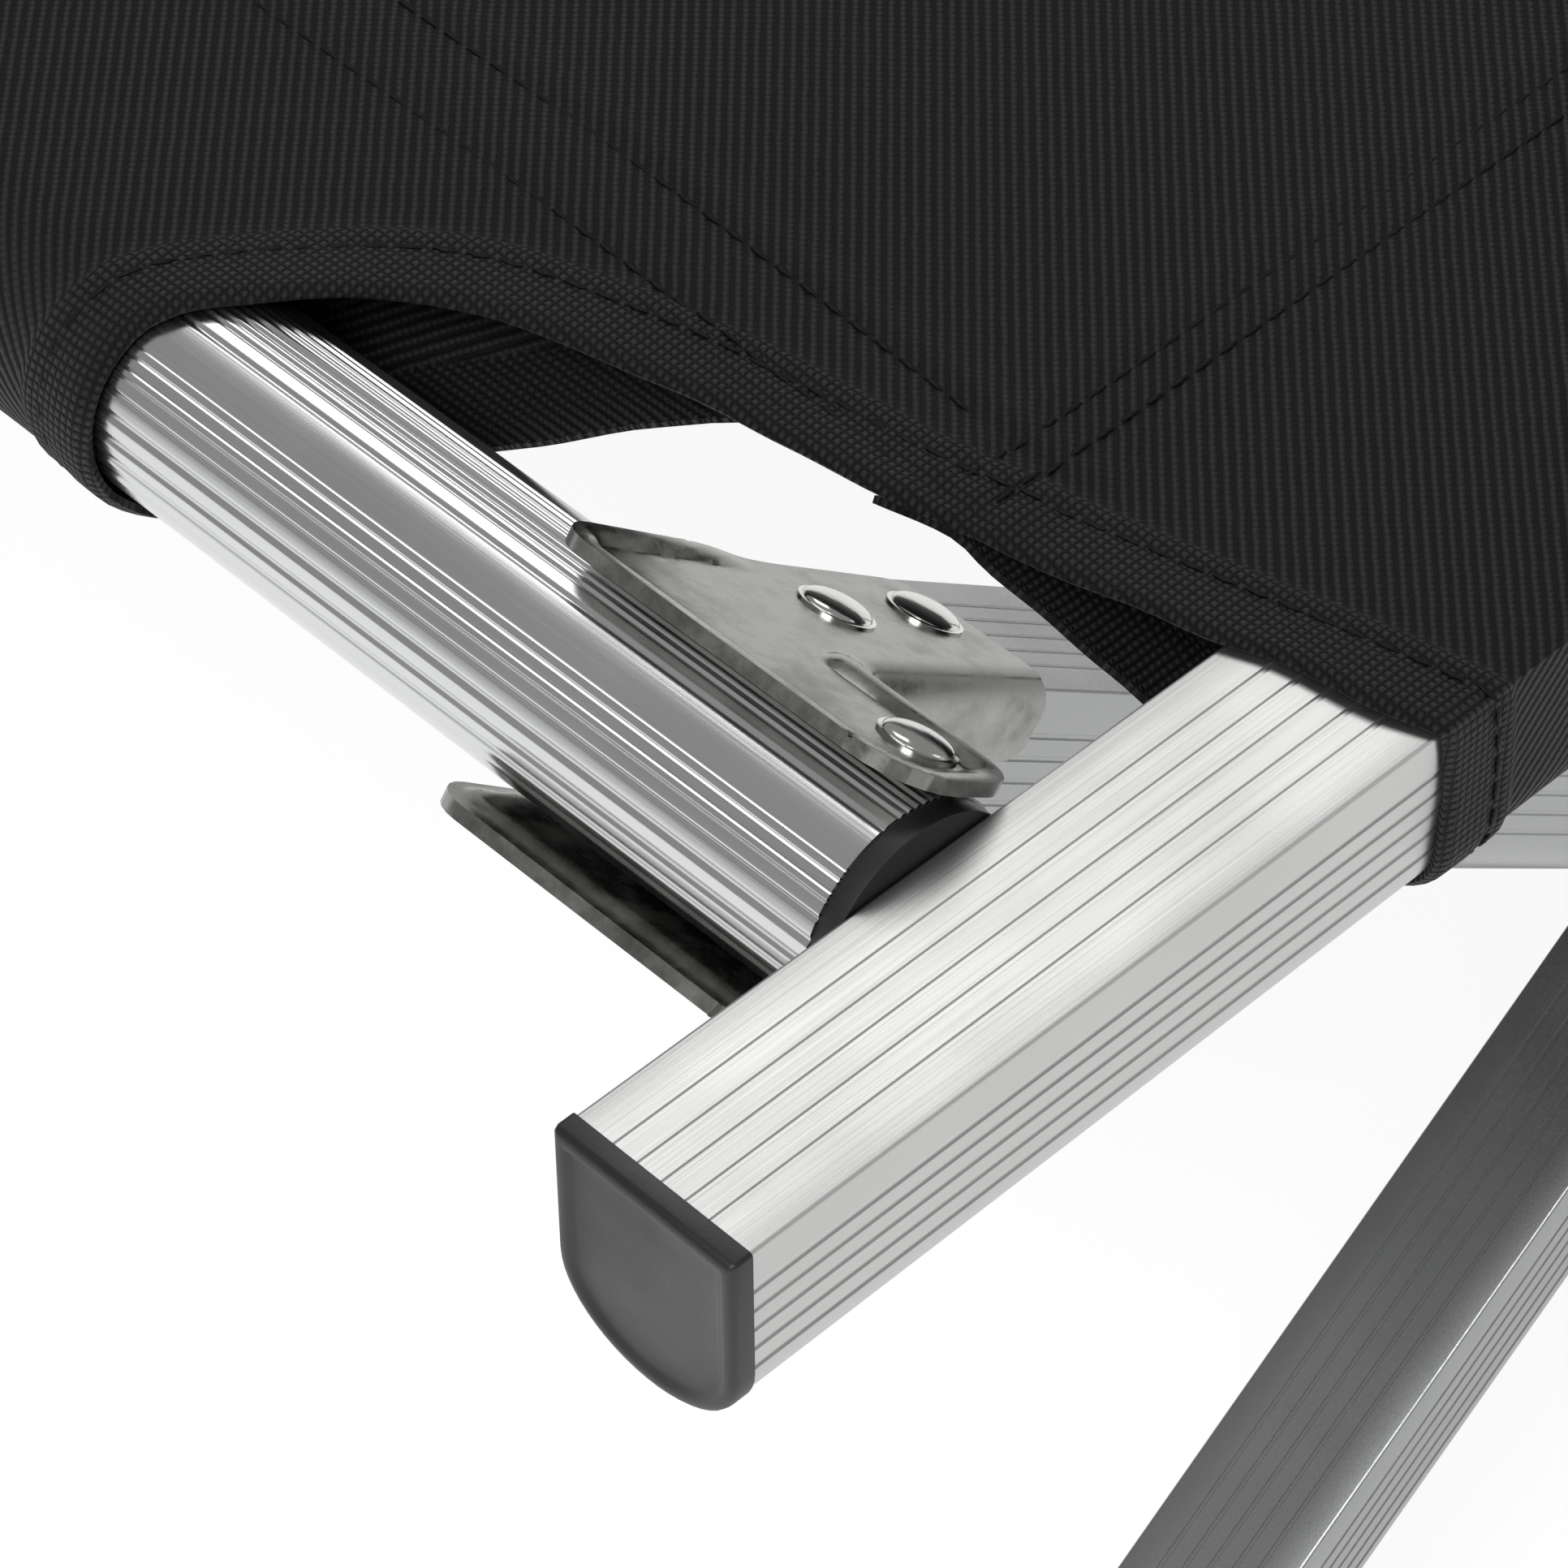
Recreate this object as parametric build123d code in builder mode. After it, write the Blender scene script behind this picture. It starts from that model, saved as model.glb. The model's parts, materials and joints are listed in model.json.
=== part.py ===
"""Folding stretcher: a cloth deck on two sleeved side rails, carried by three pairs of crossed legs.

Frame: +Z up, origin on the floor under the centre. Y runs along the stretcher, front is -Y, left is -X.
The right side is the left side turned half a turn about Z, so one set of values makes both.
All sizes are in millimetres.
"""
import os
from math import asin, atan, cos, degrees, radians, sin, sqrt, tan

from build123d import *

os.makedirs("parts", exist_ok=True)

# Overall sizes
overall_length = 1900.0
overall_width = 650.0
deck_height = 420.0
foot_inset = 62.4

# Extruded bar section, shared by the end bars and the legs
profile_width = 25.0
profile_side = 18.0
profile_wall = 1.6
groove_width = 0.5
groove_depth = 0.3
top_groove_count = 5
top_groove_pitch = 3.4
side_groove_first = 6.0
side_groove_pitch = 2.9
side_groove_count = 6

# Side rails
rail_diameter = 28.0
rail_wall = 1.5
rail_inset = 51.0
rail_drop = 9.3
rail_end_gap = 3.0
rail_middle_gap = 2.0
flute_groups = 4
flutes_in_group = 6
flute_pitch = 8.0

# Rail end plugs, each with a peg that enters a hole in the end bar
peg_diameter = 8.0
peg_length = 9.0
peg_clearance = 0.3
plug_length = 22.0
plug_clearance = 0.1
plug_flange_inset = 0.3

# Leg stations, measured from the end bar's inner face
end_leg_offset = 39.0
leg_gap = 2.0

# Gusset plates
plate_thickness = 1.8
plate_gap = 0.2
tip_margin = 7.0
wing_reach = 16.0
wing_chamfer = 4.0
far_edge_half = 10.0
tip_half = 8.0
tongue_radius = 12.0
tongue_offset = 26.0
rail_rivet_offset = 29.0
lip_depth = 8.0
lip_clearance = 0.45
leg_end_gap = 3.0
leg_rivet_margin = 4.0
leg_rivet_pitch = 17.0

# Rivets
rivet_diameter = 5.0
rivet_head_diameter = 8.4
rivet_head_height = 1.6
rivet_head_taper = 30.0
cross_rivet_diameter = 6.0
cross_head_diameter = 13.0
cross_head_height = 2.6
cross_head_taper = 25.0
running_clearance = 0.05
washer_diameter = 18.0
face_clearance = 0.2

# Feet and caps
foot_wall = 2.0
foot_height = 34.0
sole_thickness = 5.0
cap_thickness = 3.0
cap_edge = 1.2
cap_spigot = 14.0
cap_clearance = 0.2

# Cloth
cloth = 1.2
sleeve_slack = 0.4
side_sleeve_start = 114.0
end_sleeve_start = 100.0
sleeve_window = 10.0
deck_margin = 16.5
corner_cut_across = 38.0
corner_cut_along = 110.0

# Gap left between the two sides when the legs are closed
fold_clearance = 9.0

# Places worked out from the sizes above
half_length = overall_length / 2
half_width = overall_width / 2
rail_radius = rail_diameter / 2
sleeve_radius = rail_radius + sleeve_slack + cloth
rail_x = half_width - rail_inset
rail_z = deck_height - sleeve_radius
bar_top = rail_z + rail_drop
bar_inner = half_length - profile_width
rail_end = bar_inner - rail_end_gap
foot_x = half_width - foot_inset
slope = atan(rail_z / (rail_x + foot_x))
pivot_z = rail_z - rail_x * tan(slope)
fork_half = rail_radius + plate_gap
wing_overhang = rail_radius
lip_start = sqrt(rail_radius ** 2 - (fork_half - lip_depth) ** 2) + lip_clearance
leg_start = rail_radius + leg_end_gap
leg_rivet_first = leg_start + leg_rivet_margin
gusset_length = leg_rivet_first + leg_rivet_pitch + tip_margin
leg_pitch = profile_width + leg_gap
along = Vector(cos(slope), 0, -sin(slope))
across = Vector(sin(slope), 0, cos(slope))
left_axis = Vector(-rail_x, 0, rail_z)

# Section of the extruded bar, drawn about its middle with the flat face up.
# It is as high as the rail is thick, because the same gusset plates clasp both
profile_height = rail_diameter
section_top = profile_height / 2
shoulder = section_top - profile_side
sagitta = profile_height - profile_side
belly_radius = ((profile_width / 2) ** 2 + sagitta ** 2) / (2 * sagitta)
belly_centre = belly_radius - section_top


def save(piece, name):
    """Label a finished piece and write it to its own file."""
    piece.part.label = name
    export_step(piece.part, "parts/" + name + ".step")


def turned(name):
    """The name of the same piece on the other side, after half a turn about Z."""
    swap = {"left": "right", "right": "left", "front": "rear", "rear": "front"}
    return "_".join(swap.get(word, word) for word in name.split("_"))


def save_both(piece, name):
    """Write a left-side piece, and its half-turned copy for the right side."""
    save(piece, name)
    with BuildPart() as other:
        add(piece.part.rotate(Axis.Z, 180))
    save(other, turned(name))


def draw_outline(grow=0.0, mode=Mode.ADD):
    """Flat top, two straight sides and a round bottom, grown or shrunk all round."""
    half = profile_width / 2 + grow
    top = section_top + grow
    with BuildLine() as outline:
        Polyline((half, shoulder), (half, top), (-half, top), (-half, shoulder))
        ThreePointArc((-half, shoulder), (0, -top), (half, shoulder))
    make_face(outline.edges(), mode=mode)


def cut_grooves():
    """Fine grooves along the flat face and both sides."""
    first = -(top_groove_count - 1) / 2 * top_groove_pitch
    with Locations(*[(first + i * top_groove_pitch, section_top) for i in range(top_groove_count)]):
        Rectangle(groove_width, 2 * groove_depth, mode=Mode.SUBTRACT)
    for i in range(side_groove_count):
        y = section_top - side_groove_first - i * side_groove_pitch
        x = profile_width / 2
        if y < shoulder:
            x = sqrt(belly_radius ** 2 - (y - belly_centre) ** 2)
        with Locations((-x, y), (x, y)):
            Rectangle(2 * groove_depth, groove_width, mode=Mode.SUBTRACT)


# Side rails: round fluted tube in two halves, which meet at the middle gusset
def draw_tube():
    Circle(rail_radius)
    for group in range(flute_groups):
        for i in range(flutes_in_group):
            turn = group * 360 / flute_groups + (i - (flutes_in_group - 1) / 2) * flute_pitch
            with PolarLocations(rail_radius, 1, start_angle=turn):
                Rectangle(2 * groove_depth, groove_width, mode=Mode.SUBTRACT)
    Circle(rail_radius - rail_wall, mode=Mode.SUBTRACT)


# Where the legs of the left side stand: front, middle and rear
leg_stations = {
    "front": -bar_inner + end_leg_offset,
    "middle": -leg_pitch / 2,
    "rear": bar_inner - end_leg_offset - leg_pitch,
}
# Which way each gusset's wings carry rail rivets: -1 towards the front, 1 towards the rear
wings = {"front": (-1,), "middle": (-1, 1), "rear": (1,)}


def fork_plane(y, height):
    """Plane parallel to the gusset plates: x runs down the leg, y along the rail."""
    origin = left_axis + Vector(0, y, 0) + across * height
    return Plane(origin=origin, x_dir=along, z_dir=across)


def leg_plane(y, distance=0.0):
    """Plane square to a leg: x runs along the rail, y away from the floor."""
    origin = left_axis + Vector(0, y, 0) + along * distance
    return Plane(origin=origin, x_dir=(0, 1, 0), z_dir=along)


rail_rivet_places = [
    leg_stations[key] + way * rail_rivet_offset for key in leg_stations for way in wings[key]
]
rivet_hole = rivet_diameter / 2 + running_clearance

for key, start, end in (("front", -rail_end, -rail_middle_gap / 2), ("rear", rail_middle_gap / 2, rail_end)):
    with BuildPart() as rail:
        with BuildSketch(Plane(origin=(-rail_x, start, rail_z), x_dir=(1, 0, 0), z_dir=(0, 1, 0))):
            draw_tube()
        extrude(amount=end - start)
        for place in rail_rivet_places:
            if start < place < end:
                with BuildSketch(fork_plane(place, -rail_diameter)):
                    Circle(rivet_hole)
                extrude(amount=2 * rail_diameter, mode=Mode.SUBTRACT)
    save_both(rail, "left_rail_" + key)

# Rail end plugs: a spigot inside the tube, a flange against its end, and a peg for the end bar
for key, way in (("front", -1), ("rear", 1)):
    with BuildPart() as plug:
        face = Plane(origin=(-rail_x, way * (rail_end + rail_end_gap - face_clearance), rail_z),
                     x_dir=(-way, 0, 0), z_dir=(0, -way, 0))
        with BuildSketch(face):
            Circle(rail_radius - plug_flange_inset)
        extrude(amount=rail_end_gap - face_clearance)
        with BuildSketch(face.offset(rail_end_gap - face_clearance)):
            Circle(rail_radius - rail_wall - plug_clearance)
        extrude(amount=plug_length)
        with BuildSketch(face):
            Circle(peg_diameter / 2)
        extrude(amount=-peg_length)
        for place in rail_rivet_places:
            if abs(place - way * rail_end) < plug_length:
                with BuildSketch(fork_plane(place, -rail_diameter)):
                    Circle(rivet_hole)
                extrude(amount=2 * rail_diameter, mode=Mode.SUBTRACT)
    save_both(plug, "left_rail_plug_" + key)

# Legs: one length of the extruded bar each, cut level near the floor, with a hole for the crossing rivet
leg_rivet_places = [leg_rivet_first, leg_rivet_first + leg_rivet_pitch]
leg_length = (rail_z + profile_height) / sin(slope)
sole_plane = Plane.XY.offset(sole_thickness)

for key, y in leg_stations.items():
    with BuildPart() as leg:
        with BuildSketch(leg_plane(y, leg_start)):
            draw_outline()
            cut_grooves()
            draw_outline(-profile_wall, Mode.SUBTRACT)
        extrude(amount=leg_length - leg_start)
        for distance in leg_rivet_places:
            with BuildSketch(fork_plane(y, -rail_diameter)):
                with Locations((distance, 0)):
                    Circle(rivet_hole)
            extrude(amount=2 * rail_diameter, mode=Mode.SUBTRACT)
        with BuildSketch(Plane(origin=(0, y - profile_width, pivot_z), x_dir=(1, 0, 0), z_dir=(0, 1, 0))):
            Circle(cross_rivet_diameter / 2 + running_clearance)
        extrude(amount=2 * profile_width, mode=Mode.SUBTRACT)
        split(bisect_by=sole_plane, keep=Keep.TOP)
    save_both(leg, "left_leg_" + key)

    # Foot: a moulded boot around the leg's end, flat on the floor
    boot_start = (rail_z - foot_height) / sin(slope)
    with BuildPart() as pocket:
        with BuildSketch(leg_plane(y, leg_start)):
            draw_outline()
        extrude(amount=leg_length - leg_start)
        split(bisect_by=sole_plane, keep=Keep.TOP)
    with BuildPart() as foot:
        with BuildSketch(leg_plane(y, boot_start)):
            draw_outline(foot_wall)
        extrude(amount=leg_length - boot_start)
        split(bisect_by=Plane.XY, keep=Keep.TOP)
        add(pocket.part, mode=Mode.SUBTRACT)
    save_both(foot, "left_foot_" + key)

# Gussets: a flat plate above and one below each leg's end, whose wings straddle the rail
lip_face = profile_width / 2 + plate_gap
plate_face = fork_half + plate_thickness


def draw_gusset(ways):
    """One plate in a fork plane: a wing to the front, to the rear, or both ways."""
    inner = tongue_radius * 2 - wing_overhang
    fold = lip_face + plate_thickness
    if len(ways) == 2:
        with BuildLine() as outline:
            Polyline((-wing_overhang, tongue_offset), (-wing_overhang, -tongue_offset),
                     (inner, -tongue_offset), (lip_start, -fold), (gusset_length, -fold),
                     (gusset_length, fold), (lip_start, fold), (inner, tongue_offset), close=True)
    else:
        way = ways[0]
        with BuildLine() as outline:
            Polyline((-wing_overhang, way * tongue_offset),
                     (-wing_overhang, -way * (wing_reach - wing_chamfer)),
                     (-wing_overhang + wing_chamfer, -way * wing_reach),
                     (leg_rivet_first, -way * far_edge_half),
                     (gusset_length - wing_chamfer, -way * tip_half),
                     (gusset_length, -way * (tip_half - wing_chamfer)),
                     (gusset_length, way * fold), (lip_start, way * fold), (inner, way * tongue_offset),
                     close=True)
    make_face(outline.edges())
    with Locations(*[(tongue_radius - wing_overhang, way * tongue_offset) for way in ways]):
        Circle(tongue_radius)


for key, y in leg_stations.items():
    rivet_spots = [(distance, 0) for distance in leg_rivet_places]
    rivet_spots += [(0, way * rail_rivet_offset) for way in wings[key]]
    for level, side in (("upper", 1), ("lower", -1)):
        with BuildPart() as gusset:
            with BuildSketch(fork_plane(y, side * fork_half)):
                draw_gusset(wings[key])
                with Locations(*rivet_spots):
                    Circle(rivet_hole, mode=Mode.SUBTRACT)
            extrude(amount=side * plate_thickness)
            with BuildSketch(fork_plane(y, side * fork_half)):
                for way in wings[key]:
                    with Locations(((lip_start + gusset_length) / 2, way * (lip_face + plate_thickness / 2))):
                        Rectangle(gusset_length - lip_start, plate_thickness)
            extrude(amount=-side * lip_depth)
        save_both(gusset, "left_gusset_" + key + "_" + level)

    # Solid rivets with low heads on both faces: two hold the leg, the rest hold the rail
    with BuildPart() as rivets:
        with BuildSketch(fork_plane(y, -plate_face)):
            with Locations(*rivet_spots):
                Circle(rivet_diameter / 2)
        extrude(amount=2 * plate_face)
        for side in (-1, 1):
            with BuildSketch(fork_plane(y, side * plate_face)):
                with Locations(*rivet_spots):
                    Circle(rivet_head_diameter / 2)
            extrude(amount=side * rivet_head_height, taper=rivet_head_taper)
    save_both(rivets, "left_gusset_rivets_" + key)

# Crossing rivets join the two legs of each pair; a washer keeps the legs apart
for key, y in leg_stations.items():
    low = y - profile_width / 2 - face_clearance
    high = y + leg_pitch + profile_width / 2 + face_clearance
    with BuildPart() as cross_rivet:
        with BuildSketch(Plane(origin=(0, low, pivot_z), x_dir=(1, 0, 0), z_dir=(0, 1, 0))):
            Circle(cross_rivet_diameter / 2)
        extrude(amount=high - low)
        for place, way in ((low, -1), (high, 1)):
            with BuildSketch(Plane(origin=(0, place, pivot_z), x_dir=(way, 0, 0), z_dir=(0, way, 0))):
                Circle(cross_head_diameter / 2)
            extrude(amount=cross_head_height, taper=cross_head_taper)
    save(cross_rivet, "cross_rivet_" + key)
    with BuildPart() as washer:
        start = y + profile_width / 2 + face_clearance
        with BuildSketch(Plane(origin=(0, start, pivot_z), x_dir=(1, 0, 0), z_dir=(0, 1, 0))):
            Circle(washer_diameter / 2)
            Circle(cross_rivet_diameter / 2 + running_clearance, mode=Mode.SUBTRACT)
        extrude(amount=leg_gap - 2 * face_clearance)
    save(washer, "cross_washer_" + key)

# End bars: the extruded section laid across each end, with a hole for each rail's peg
bar_centre = Vector(0, -bar_inner - profile_width / 2, bar_top - section_top)
bar_half = half_width - cap_thickness


def bar_plane(x, way):
    """Plane square to the front bar at x, facing along +X or -X, with the bar's flat face up."""
    return Plane(origin=bar_centre + Vector(x, 0, 0), x_dir=(0, way, 0), z_dir=(way, 0, 0))


with BuildPart() as bar:
    with BuildSketch(bar_plane(-bar_half, 1)):
        draw_outline()
        cut_grooves()
        draw_outline(-profile_wall, Mode.SUBTRACT)
    extrude(amount=2 * bar_half)
    for side in (-1, 1):
        hole = Plane(origin=(side * rail_x, -bar_inner, rail_z), x_dir=(1, 0, 0), z_dir=(0, 1, 0))
        with BuildSketch(hole):
            Circle(peg_diameter / 2 + peg_clearance)
        extrude(amount=-2 * profile_wall, mode=Mode.SUBTRACT)
save(bar, "front_bar")
with BuildPart() as rear_bar:
    add(bar.part.rotate(Axis.Z, 180))
save(rear_bar, "rear_bar")

# Bar caps: a flat head over the bar's end and a spigot inside it
spigot_half = profile_width / 2 - profile_wall - cap_clearance
spigot_top = section_top - profile_wall - cap_clearance
for side_name, way in (("left", -1), ("right", 1)):
    with BuildPart() as cap:
        with BuildSketch(bar_plane(way * bar_half, way)):
            draw_outline()
        extrude(amount=cap_thickness)
        outer = cap.faces().sort_by(Axis.X)[-1 if way > 0 else 0]
        fillet(outer.edges(), cap_edge)
        with BuildSketch(bar_plane(way * bar_half, way)):
            with Locations((0, (spigot_top + shoulder) / 2)):
                Rectangle(2 * spigot_half, spigot_top - shoulder)
        extrude(amount=-cap_spigot)
    save(cap, "front_bar_cap_" + side_name)
    with BuildPart() as other_cap:
        add(cap.part.rotate(Axis.Z, 180))
    save(other_cap, turned("front_bar_cap_" + side_name))

# Cloth. The side sleeves hold the rails, the end sleeves hold the bars, the deck spans between them
sleeve_bore = rail_radius + sleeve_slack
sleeve_end = bar_inner - side_sleeve_start
window_half = tongue_offset + tongue_radius + sleeve_window
sleeve_spans = {
    "front": (-sleeve_end, leg_stations["middle"] - window_half),
    "rear": (leg_stations["middle"] + window_half, sleeve_end),
}
for key, (start, end) in sleeve_spans.items():
    with BuildPart() as side_sleeve:
        with BuildSketch(Plane(origin=(-rail_x, start, rail_z), x_dir=(1, 0, 0), z_dir=(0, 1, 0))):
            Circle(sleeve_radius)
            Circle(sleeve_bore, mode=Mode.SUBTRACT)
        extrude(amount=end - start)
    save_both(side_sleeve, "left_side_sleeve_" + key)

end_sleeve_half = half_width - end_sleeve_start
with BuildPart() as end_sleeve:
    with BuildSketch(bar_plane(-end_sleeve_half, 1)):
        draw_outline(sleeve_slack + cloth)
        draw_outline(sleeve_slack, Mode.SUBTRACT)
    extrude(amount=2 * end_sleeve_half)
save(end_sleeve, "front_end_sleeve")
with BuildPart() as rear_sleeve:
    add(end_sleeve.part.rotate(Axis.Z, 180))
save(rear_sleeve, "rear_end_sleeve")

deck_half_x = rail_x - deck_margin
deck_half_y = bar_inner - sleeve_slack - cloth - face_clearance
with BuildPart() as deck:
    with BuildSketch(Plane.XY.offset(deck_height - cloth)):
        Rectangle(2 * deck_half_x, 2 * deck_half_y)
        corners = [Vector(x, y) for x in (-deck_half_x, deck_half_x) for y in (-deck_half_y, deck_half_y)]
        for corner in corners:
            step_x = Vector(-corner.X, 0).normalized() * corner_cut_across
            step_y = Vector(0, -corner.Y).normalized() * corner_cut_along
            with BuildLine():
                Polyline(corner, corner + step_x, corner + step_y, close=True)
            make_face(mode=Mode.SUBTRACT)
    extrude(amount=cloth)
save(deck, "deck_cloth")

# The fold stops where the rivet heads of the two sides are still the fold clearance from each other
leg_reach = rail_x / cos(slope)
closed_slope = 90 - degrees(asin((plate_face + rivet_head_height + fold_clearance) / leg_reach))
print("pivot height", round(pivot_z, 2), "rail at", round(rail_x, 2), round(rail_z, 2))
print("fold range in degrees", round(closed_slope - degrees(slope), 1))
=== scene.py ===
"""Folding stretcher: black woven deck on fluted aluminium side rails, crossed legs and D-section end bars."""
import json
import math

import bmesh
import bpy
import numpy as np
from mathutils import Matrix, Vector, noise


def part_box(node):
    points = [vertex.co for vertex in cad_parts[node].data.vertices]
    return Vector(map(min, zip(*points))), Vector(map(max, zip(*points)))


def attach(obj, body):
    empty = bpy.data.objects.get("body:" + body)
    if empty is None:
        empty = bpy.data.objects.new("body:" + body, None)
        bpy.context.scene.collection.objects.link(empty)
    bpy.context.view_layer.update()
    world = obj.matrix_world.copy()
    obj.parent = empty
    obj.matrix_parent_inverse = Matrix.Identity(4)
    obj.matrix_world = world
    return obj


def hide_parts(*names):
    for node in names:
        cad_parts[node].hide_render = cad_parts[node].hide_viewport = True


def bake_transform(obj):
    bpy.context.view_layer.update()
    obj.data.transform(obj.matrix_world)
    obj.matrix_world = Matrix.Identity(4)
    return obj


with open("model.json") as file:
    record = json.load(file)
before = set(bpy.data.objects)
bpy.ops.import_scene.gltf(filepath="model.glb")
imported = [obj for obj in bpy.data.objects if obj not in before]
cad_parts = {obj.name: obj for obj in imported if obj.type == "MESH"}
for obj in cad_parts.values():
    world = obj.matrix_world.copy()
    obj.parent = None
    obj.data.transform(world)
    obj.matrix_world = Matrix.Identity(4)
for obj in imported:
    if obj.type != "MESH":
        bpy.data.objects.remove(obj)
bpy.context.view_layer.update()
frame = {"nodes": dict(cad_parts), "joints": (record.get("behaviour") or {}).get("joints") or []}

# ---------------------------------------------------------------- Camera
# A long lens looks down on the front left corner, where a rail, an end bar and a gusset meet.
# It stands two thirds of a metre off, turned 44 degrees to the right and tipped 46 degrees down.
camera_data = bpy.data.cameras.new("camera")
camera_data.sensor_width = 36
camera_data.lens = 145.25
camera_data.clip_start = 0.02
camera_data.clip_end = 60
camera = bpy.data.objects.new("camera", camera_data)
bpy.context.collection.objects.link(camera)
camera.location = (-0.5885, -1.2339, 0.8847)
camera_turn = Matrix.Rotation(math.radians(-43.73), 4, "Z")
camera_turn = camera_turn @ Matrix.Rotation(math.radians(90 - 46.17), 4, "X")
camera.rotation_euler = (camera_turn @ Matrix.Rotation(-0.011, 4, "Z")).to_euler()
bpy.context.scene.camera = camera

# ---------------------------------------------------------------- Studio floor and light
# A pale painted floor that glows a little under a soft white sky, so that light comes in under the deck too.
# A large soft light stands at the front left, one behind lights the flat tops, a weak one fills the right.


def linear(hex_colour):
    """An sRGB hex value as linear red, green, blue and alpha."""
    parts = [int(hex_colour[i:i + 2], 16) / 255 for i in (1, 3, 5)]
    return [c / 12.92 if c <= 0.04045 else ((c + 0.055) / 1.055) ** 2.4 for c in parts] + [1]


def add_node(tree, kind, values=None, links=None, **settings):
    """Add a node, set its properties and input values, and link its inputs from other nodes' outputs."""
    node = tree.nodes.new("ShaderNode" + kind)
    for key, value in settings.items():
        setattr(node, key, value)
    for key, value in (values or {}).items():
        node.inputs[key].default_value = value
    for key, source in (links or {}).items():
        tree.links.new(source, node.inputs[key])
    return node


def new_material(name, colour, metallic=0.0, roughness=0.5):
    """A material with one shader, set to a colour, and its node tree."""
    material = bpy.data.materials.new(name)
    material.use_nodes = True
    shader = material.node_tree.nodes["Principled BSDF"]
    shader.inputs["Base Color"].default_value = linear(colour)
    shader.inputs["Metallic"].default_value = metallic
    shader.inputs["Roughness"].default_value = roughness
    return material, material.node_tree, shader


floor_paint, _, floor_shader = new_material("painted_studio_floor", "#A6A6A6", 0.0, 0.9)
floor_shader.inputs["Emission Color"].default_value = linear("#FFFFFF")
floor_shader.inputs["Emission Strength"].default_value = 0.82
bpy.ops.object.select_all(action="DESELECT")
bpy.ops.mesh.primitive_plane_add(size=60, location=(0, 0, 0))
floor = bpy.context.object
floor.name = "studio_floor"
floor.data.materials.append(floor_paint)

world = bpy.data.worlds.new("studio")
bpy.context.scene.world = world
world.use_nodes = True
world.node_tree.nodes["Background"].inputs["Color"].default_value = linear("#FFFFFF")
world.node_tree.nodes["Background"].inputs["Strength"].default_value = 0.34
bpy.context.scene.view_settings.view_transform = "Standard"

for name, place, size, watts in (
    ("key_light", (-2.1, -1.7, 2.7), 1.3, 52),
    ("back_light", (0.9, 0.4, 2.6), 1.5, 20),
    ("side_light", (1.8, -3.2, 1.4), 1.2, 5),
):
    light_data = bpy.data.lights.new(name, "AREA")
    light_data.size = size
    light_data.energy = watts
    light = bpy.data.objects.new(name, light_data)
    bpy.context.collection.objects.link(light)
    light.location = place
    light.rotation_euler = (-Vector(place)).to_track_quat("-Z", "Y").to_euler()

# ---------------------------------------------------------------- Side rails
# Two round tubes a side, each in two halves that meet at the middle gusset.
# Extruded aluminium, left in its satin mill finish: groups of fine flutes with smooth bright bands between.
MM = 0.001


def add_ring(name, outline, place):
    """A closed ring of edges with one corner for each outline point, laid in a plane given by its matrix."""
    bpy.ops.object.select_all(action="DESELECT")
    bpy.ops.mesh.primitive_circle_add(vertices=len(outline), radius=1)
    ring = bpy.context.object
    ring.name = name
    for vertex, (a, b) in zip(ring.data.vertices, outline):
        vertex.co = place @ Vector((a, b, 0))
    return ring


def select_only(piece):
    """Make a piece the one that is selected and active."""
    bpy.ops.object.select_all(action="DESELECT")
    piece.select_set(True)
    bpy.context.view_layer.objects.active = piece


def edit_all(piece):
    """Open a piece in edit mode with everything selected."""
    select_only(piece)
    bpy.ops.object.mode_set(mode="EDIT")
    bpy.ops.mesh.select_all(action="SELECT")


def face_outwards(piece):
    """Turn all of a piece's faces outwards."""
    edit_all(piece)
    bpy.ops.mesh.normals_make_consistent(inside=False)
    bpy.ops.object.mode_set(mode="OBJECT")


def extrude_all(piece, way):
    """Extrude all of a piece's edges by a vector."""
    edit_all(piece)
    bpy.ops.mesh.extrude_region_move(TRANSFORM_OT_translate={"value": way})
    bpy.ops.object.mode_set(mode="OBJECT")
    face_outwards(piece)


def modify(piece, kind, **settings):
    """Add a modifier with its settings and apply it."""
    select_only(piece)
    modifier = piece.modifiers.new(kind.lower(), kind)
    for key, value in settings.items():
        setattr(modifier, key, value)
    bpy.ops.object.modifier_apply(modifier=modifier.name)


def finish_piece(piece, material, body, *nodes, sharp=30):
    """Smooth a piece up to an angle, paint it, ride it on its body and let it stand for its CAD nodes."""
    select_only(piece)
    bpy.ops.object.shade_smooth_by_angle(angle=math.radians(sharp))
    piece.data.materials.clear()
    piece.data.materials.append(material)
    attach(piece, body)
    if nodes:
        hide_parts(*nodes)
    return piece


def copy_as(piece, name, move):
    """A copy of a piece with its own mesh, moved by a matrix."""
    copy = bpy.data.objects.new(name, piece.data.copy())
    bpy.context.collection.objects.link(copy)
    copy.data.transform(move)
    if move.determinant() < 0:
        copy.data.flip_normals()
    return copy


def other_side(name):
    """The name of the same piece on the other side, after half a turn about Z."""
    swap = {"left": "right", "right": "left", "front": "rear", "rear": "front"}
    return "_".join(swap.get(word, word) for word in name.split("_"))


def frame_matrix(origin, x_way, y_way):
    """A plane's matrix from its origin and two directions at right angles."""
    x_way, y_way = Vector(x_way).normalized(), Vector(y_way).normalized()
    turn = Matrix((x_way, y_way, x_way.cross(y_way))).transposed().to_4x4()
    return Matrix.Translation(origin) @ turn


half_turn = Matrix.Rotation(math.pi, 4, "Z")


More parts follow.
